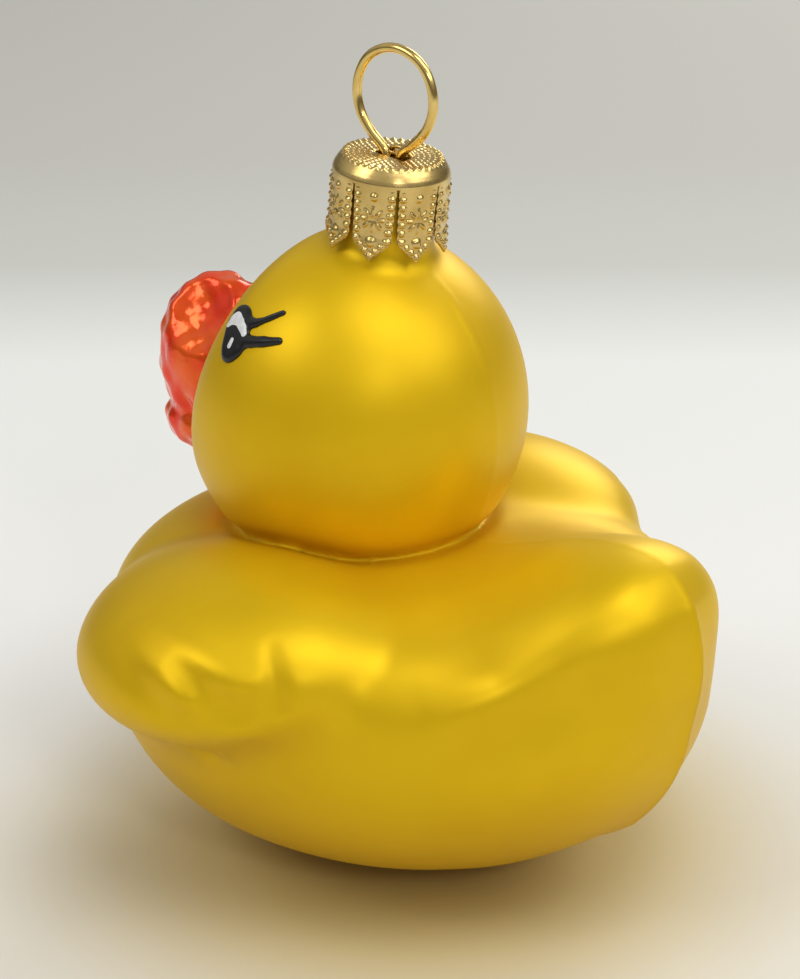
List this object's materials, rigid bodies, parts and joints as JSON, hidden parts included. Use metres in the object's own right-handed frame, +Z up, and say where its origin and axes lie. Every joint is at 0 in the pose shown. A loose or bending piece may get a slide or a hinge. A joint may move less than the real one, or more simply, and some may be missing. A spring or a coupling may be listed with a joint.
{
  "type": "rubber duck ornament",
  "caption": "Hollow blown-glass hanging figure of a bath duck, with a stamped crown cap, a wire loop to hang it by and raised enamel eyes.",
  "frame": {"origin": "centre of the bounding box in plan, at the underside", "axes": "+Z up, -Y the way the bill points, +X the duck's left side"},
  "size_m": [0.084, 0.0786, 0.1003],
  "materials": {
    "glass_duck": "blown glass, silvered inside, satin pearl yellow lacquer outside, glossy red-orange lacquer on the bill",
    "crown_cap": "thin stamped sheet, gold coloured, embossed",
    "hanger_loop": "bright spring wire, gold coloured",
    "eye_enamel": "thick black enamel with white marks"
  },
  "bodies": {
    "root": {"glass_duck": "glass_duck", "crown_cap": "crown_cap", "hanger_loop": "hanger_loop", "left_eye": "eye_enamel", "right_eye": "eye_enamel"}
  },
  "joints": []
}
